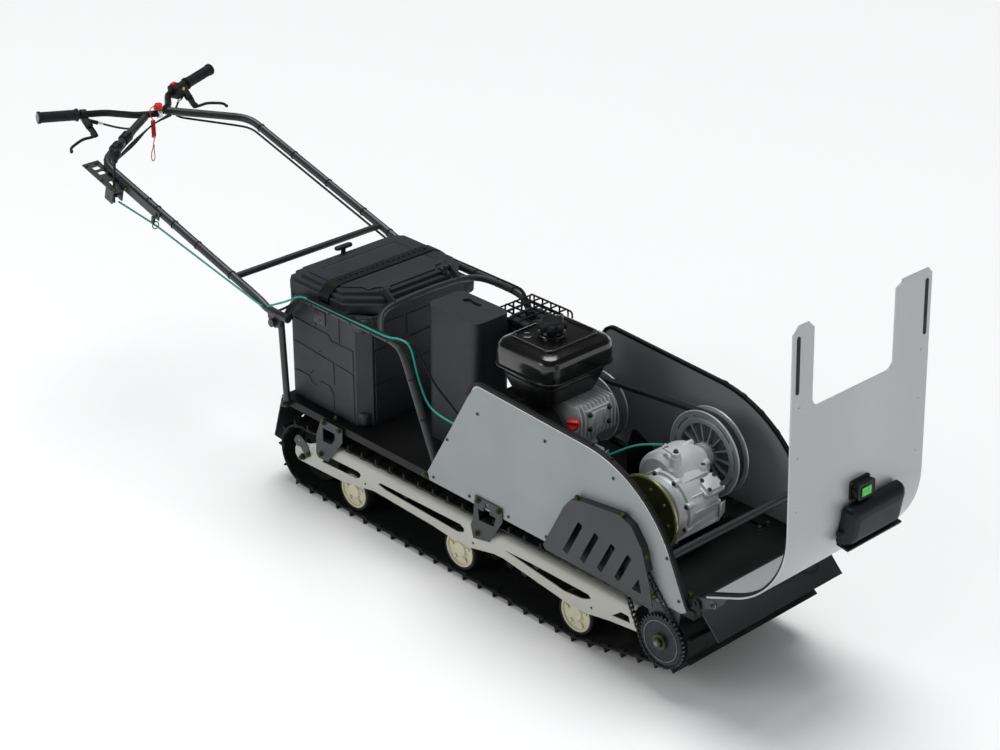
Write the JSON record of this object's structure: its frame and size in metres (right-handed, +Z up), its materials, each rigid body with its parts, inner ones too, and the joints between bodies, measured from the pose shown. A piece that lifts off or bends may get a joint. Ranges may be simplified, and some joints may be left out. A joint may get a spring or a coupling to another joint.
{
  "type": "tracked snow tow vehicle",
  "caption": "Walk-behind tracked snow tow vehicle: rubber track on slide rails, deck with engine, belt and chain drive, opened hood with lamp, cargo box and tilting handle with controls.",
  "frame": {"origin": "centre of the bounding box in plan, on the ground under the track", "axes": "+X forward to the hood, +Y to the left side, +Z up"},
  "size_m": [3.0509, 0.6784, 1.1613],
  "materials": {
    "frame_black": "semi-gloss charcoal powder coat on sheet and tube",
    "panel_silver": "satin light grey paint",
    "hood_silver": "satin silver paint",
    "rail_beige": "satin warm grey paint",
    "track_rubber": "matte dark rubber",
    "trim_rubber": "matte black rubber profile",
    "wheel_cream": "cream plastic hub with a dark rubber tyre",
    "cast_alloy": "bead blasted cast alloy",
    "black_plastic": "fine grained black plastic",
    "tank_gloss": "black moulded plastic with a soft shine",
    "engine_black": "satin black engine paint",
    "muffler_navy": "dark heat resistant paint",
    "zinc_green": "yellow-green zinc plating",
    "disc_olive": "olive zinc plating",
    "chain_steel": "oiled steel",
    "red_plastic": "glossy red plastic",
    "red_cord": "red plastic coated cord",
    "yellow_plastic": "glossy yellow plastic",
    "teal_cable": "teal cable jacket",
    "black_cable": "black cable jacket",
    "lens": "clear lamp lens",
    "display": "lit display",
    "pulley_steel": "turned and painted pulley"
  },
  "bodies": {
    "chassis": {"deck": "frame_black", "rear_apron": "frame_black", "nose_plate": "frame_black", "side_panels": "panel_silver", "edge_trims": "trim_rubber", "slide_rails": "rail_beige", "hangers": "frame_black", "wheel_axles": "frame_black", "track": "track_rubber", "tube_frame": "frame_black", "cargo_box": "black_plastic", "air_box": "black_plastic", "engine_block": "cast_alloy", "engine_shroud": "engine_black", "fuel_tank": "tank_gloss", "dipstick": "red_plastic", "muffler": "muffler_navy", "muffler_guard": "frame_black", "gearbox": "cast_alloy", "drive_chain": "chain_steel", "v_belt": "trim_rubber", "chain_guard": "frame_black", "bolts": "zinc_green", "shift_cable": "teal_cable", "body_cables": "black_cable", "tow_hitch": "frame_black"},
    "hood": {"hood_panel": "hood_silver", "hood_seal": "trim_rubber", "hood_hinges": "frame_black", "lamp_housing": "black_plastic", "lamp_lens": "lens", "pod": "black_plastic", "pod_face": "display"},
    "handle": {"handle_frame": "frame_black", "handlebar": "frame_black", "grips": "trim_rubber", "bar_controls": "black_plastic", "shift_gate": "frame_black", "tether_cord": "red_cord", "tether_clip": "red_plastic", "handle_shift_cable": "teal_cable", "handle_cables": "black_cable"},
    "throttle": {"throttle_lever": "black_plastic"},
    "brake": {"brake_lever": "black_plastic"},
    "kill_switch": {"kill_rocker": "red_plastic"},
    "starter": {"start_button": "yellow_plastic"},
    "shifter": {"shift_lever": "black_plastic"},
    "selector": {"selector_arm": "cast_alloy"},
    "tank_cap": {"fuel_cap": "tank_gloss"},
    "lid": {"box_lid": "black_plastic", "box_strap": "trim_rubber"},
    "idlers": {"idler_wheels": "wheel_cream"},
    "wheels_rear": {"bogie_rear": "wheel_cream"},
    "wheels_mid": {"bogie_mid": "wheel_cream"},
    "wheels_front": {"bogie_front": "wheel_cream"},
    "drive_axle": {"drive_shaft": "frame_black"},
    "output": {"output_shaft": "frame_black", "brake_disc": "disc_olive"},
    "clutch_driven": {"driven_pulley": "pulley_steel"},
    "clutch_drive": {"drive_pulley": "pulley_steel"}
  },
  "joints": [
    {"name": "hood_hinge", "type": "hinge", "parent": "chassis", "child": "hood", "pos_m": [1.2007, 0, 0.31], "axis": [0, -1, 0], "range_deg": [0, 80]},
    {"name": "handle_tilt", "type": "hinge", "parent": "chassis", "child": "handle", "pos_m": [-0.4083, 0, 0.545], "axis": [0, 1, 0], "range_deg": [-10, 20]},
    {"name": "throttle_pivot", "type": "hinge", "parent": "handle", "child": "throttle", "pos_m": [-1.4363, -0.195, 0.84], "axis": [-0.6, 0, -0.8], "range_deg": [0, 18], "stiffness_Nm_per_rad": 1.5, "springref_deg": -17.19},
    {"name": "brake_pivot", "type": "hinge", "parent": "handle", "child": "brake", "pos_m": [-1.4363, 0.195, 0.84], "axis": [0.6, 0, 0.8], "range_deg": [0, 18], "stiffness_Nm_per_rad": 1.5, "springref_deg": -17.19},
    {"name": "kill_rocker_pivot", "type": "hinge", "parent": "handle", "child": "kill_switch", "pos_m": [-1.46604, 0.15631, 0.88415], "axis": [-0.2574, 0.9611, 0.0998], "range_deg": [-8, 8]},
    {"name": "start_push", "type": "slide", "parent": "handle", "child": "starter", "axis": [-0.966, -0.2586, 0], "range_m": [0, 0.002], "stiffness_N_per_m": 800, "springref_m": -0.002},
    {"name": "shift_pivot", "type": "hinge", "parent": "handle", "child": "shifter", "pos_m": [-1.1493, -0.31, 0.724], "axis": [0, 1, 0], "range_deg": [-15, 15]},
    {"name": "selector_pivot", "type": "hinge", "parent": "chassis", "child": "selector", "pos_m": [0.9437, -0.05, 0.56], "axis": [0, 0, 1], "range_deg": [-15, 15]},
    {"name": "cap_turn", "type": "hinge", "parent": "chassis", "child": "tank_cap", "pos_m": [0.4677, -0.03, 0.744], "axis": [0, 0, 1], "range_deg": [0, 90]},
    {"name": "lid_hinge", "type": "hinge", "parent": "chassis", "child": "lid", "pos_m": [-0.1083, 0, 0.693], "axis": [0, 1, 0], "range_deg": [0, 75]},
    {"name": "drive_spin", "type": "hinge", "parent": "chassis", "child": "drive_axle", "pos_m": [1.1087, 0, 0.165], "axis": [0, 1, 0], "continuous": true},
    {"name": "output_spin", "type": "hinge", "parent": "chassis", "child": "output", "pos_m": [0.9397, 0, 0.42], "axis": [0, 1, 0], "continuous": true},
    {"name": "idler_spin", "type": "hinge", "parent": "chassis", "child": "idlers", "pos_m": [-0.34945, 0, 0.114], "axis": [0, 1, 0], "continuous": true},
    {"name": "wheels_rear_spin", "type": "hinge", "parent": "chassis", "child": "wheels_rear", "pos_m": [-0.1303, 0, 0.084], "axis": [0, 1, 0], "continuous": true},
    {"name": "wheels_mid_spin", "type": "hinge", "parent": "chassis", "child": "wheels_mid", "pos_m": [0.3247, 0, 0.084], "axis": [0, 1, 0], "continuous": true},
    {"name": "wheels_front_spin", "type": "hinge", "parent": "chassis", "child": "wheels_front", "pos_m": [0.7797, 0, 0.084], "axis": [0, 1, 0], "continuous": true},
    {"name": "driven_pulley_spin", "type": "hinge", "parent": "chassis", "child": "clutch_driven", "pos_m": [0.8857, 0, 0.47], "axis": [0, 1, 0], "continuous": true},
    {"name": "drive_pulley_spin", "type": "hinge", "parent": "chassis", "child": "clutch_drive", "pos_m": [0.4737, 0, 0.455], "axis": [0, 1, 0], "continuous": true}
  ],
  "couplings": [
    {"joint": "output_spin", "follows": "drive_spin", "ratio": 2.1176},
    {"joint": "idler_spin", "follows": "drive_spin", "ratio": 0.7943},
    {"joint": "wheels_rear_spin", "follows": "drive_spin", "ratio": 1.1667},
    {"joint": "wheels_mid_spin", "follows": "drive_spin", "ratio": 1.1667},
    {"joint": "wheels_front_spin", "follows": "drive_spin", "ratio": 1.1667},
    {"joint": "drive_pulley_spin", "follows": "driven_pulley_spin", "ratio": 1.2857},
    {"joint": "selector_pivot", "follows": "shift_pivot", "ratio": 1}
  ]
}
